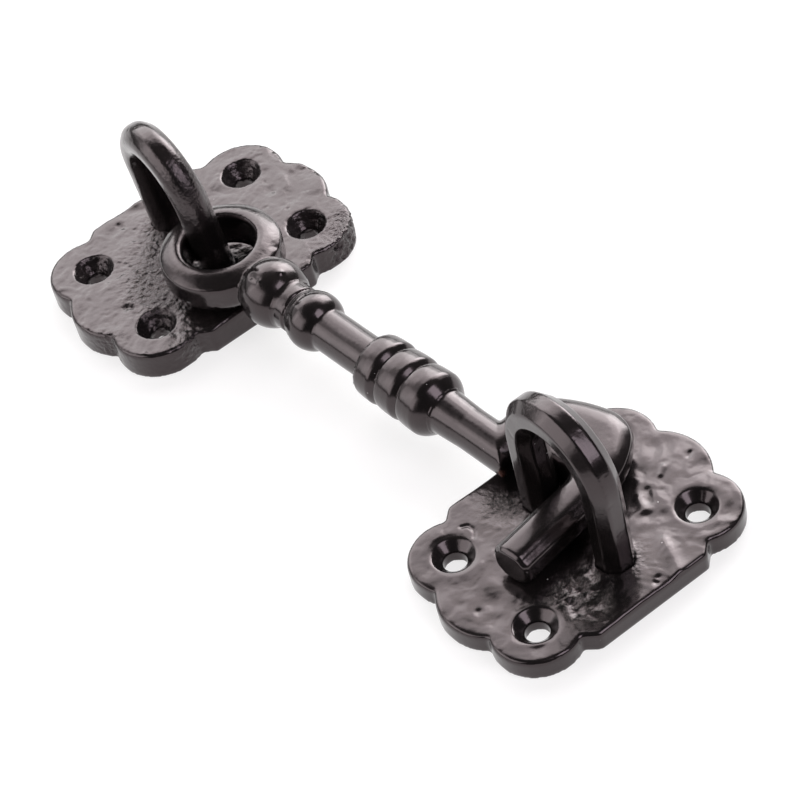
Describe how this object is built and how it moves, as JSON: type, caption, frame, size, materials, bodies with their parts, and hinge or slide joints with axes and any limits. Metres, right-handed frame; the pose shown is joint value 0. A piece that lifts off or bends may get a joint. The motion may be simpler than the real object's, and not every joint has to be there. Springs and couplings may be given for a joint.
{
  "type": "cabin hook",
  "caption": "Black cast-iron cabin hook: a turned arm with a ring eye on one scalloped plate's staple and a crooked finger that drops into a staple on the other plate, to hold a door.",
  "frame": {"origin": "centre of the hook plate's screw pattern, on the plate's back face", "axes": "+X along the arm towards the keeper plate, +Y along the plates, towards the side from which the hook drops in, +Z out of the plates"},
  "size_m": [0.1707, 0.0689, 0.0406],
  "materials": {
    "black_iron": "gloss black paint on rough casting"
  },
  "bodies": {
    "plates": {"hook_plate": "black_iron", "hook_staple": "black_iron", "keeper_plate": "black_iron", "keeper_staple": "black_iron"},
    "hook": {"hook_arm": "black_iron"}
  },
  "joints": [
    {"name": "hook_swing", "type": "hinge", "parent": "plates", "child": "hook", "pos_m": [0.00955, -0.00155, 0.01229], "axis": [0, -0.1908, 0.9816], "range_deg": [0, 70]}
  ]
}
